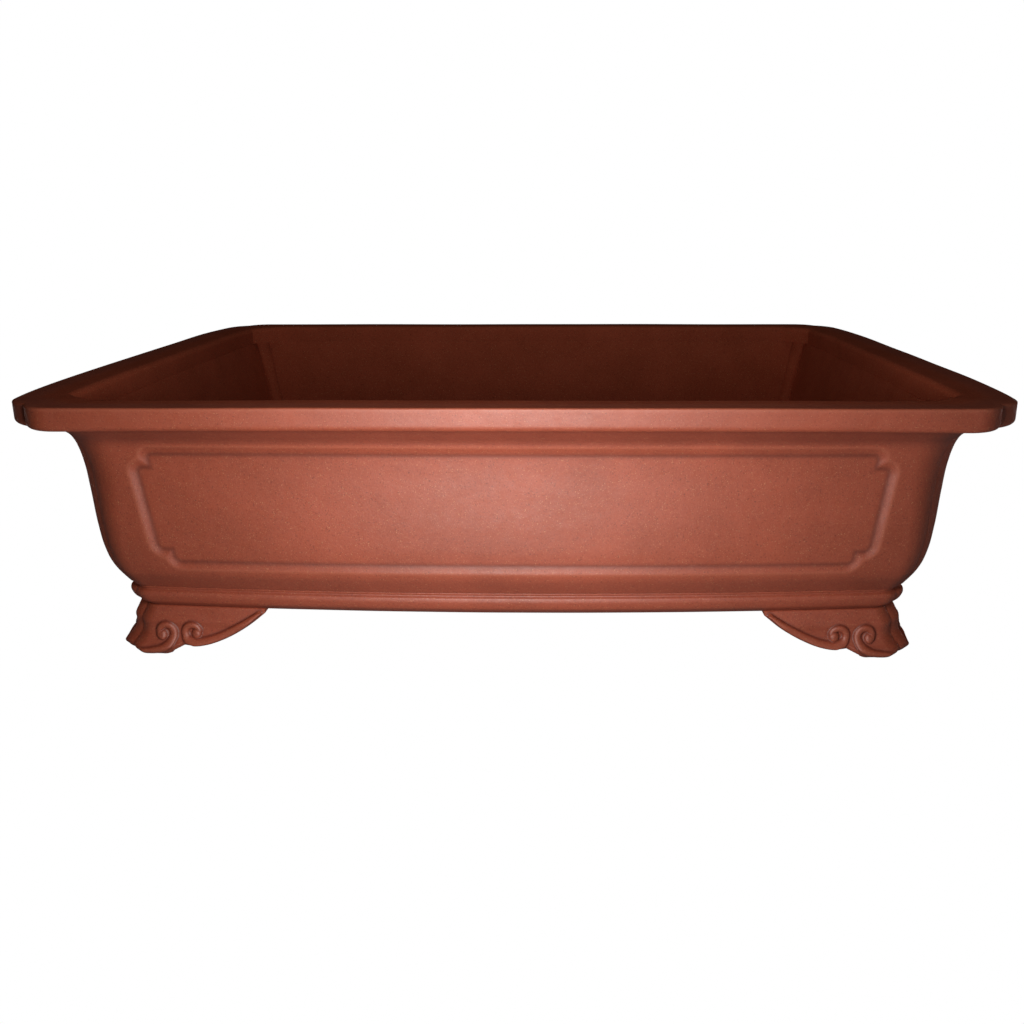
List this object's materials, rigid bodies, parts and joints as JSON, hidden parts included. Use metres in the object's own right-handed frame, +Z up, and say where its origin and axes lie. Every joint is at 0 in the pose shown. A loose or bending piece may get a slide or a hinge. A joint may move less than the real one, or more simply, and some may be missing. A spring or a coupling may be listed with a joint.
{
  "type": "bonsai pot",
  "caption": "Rectangular unglazed clay bonsai pot with a flared lip, recessed side panels, base belt and scrolled corner feet.",
  "frame": {"origin": "on the ground under the middle of the pot", "axes": "+X along the pot's length to the viewer's right, +Y to the back, +Z up out of the mouth"},
  "size_m": [0.42, 0.32, 0.12],
  "materials": {
    "clay": "matte unglazed red-brown stoneware with fine grain"
  },
  "bodies": {
    "root": {"floor_slab": "clay", "front_wall": "clay", "rim_front": "clay", "belt_front": "clay", "back_wall": "clay", "rim_back": "clay", "belt_back": "clay", "left_wall": "clay", "rim_left": "clay", "belt_left": "clay", "right_wall": "clay", "rim_right": "clay", "belt_right": "clay", "seam_coil_front_left": "clay", "foot_front_left_long_wing": "clay", "foot_front_left_short_wing": "clay", "seam_coil_front_right": "clay", "foot_front_right_long_wing": "clay", "foot_front_right_short_wing": "clay", "seam_coil_back_left": "clay", "foot_back_left_long_wing": "clay", "foot_back_left_short_wing": "clay", "seam_coil_back_right": "clay", "foot_back_right_long_wing": "clay", "foot_back_right_short_wing": "clay"}
  },
  "joints": []
}
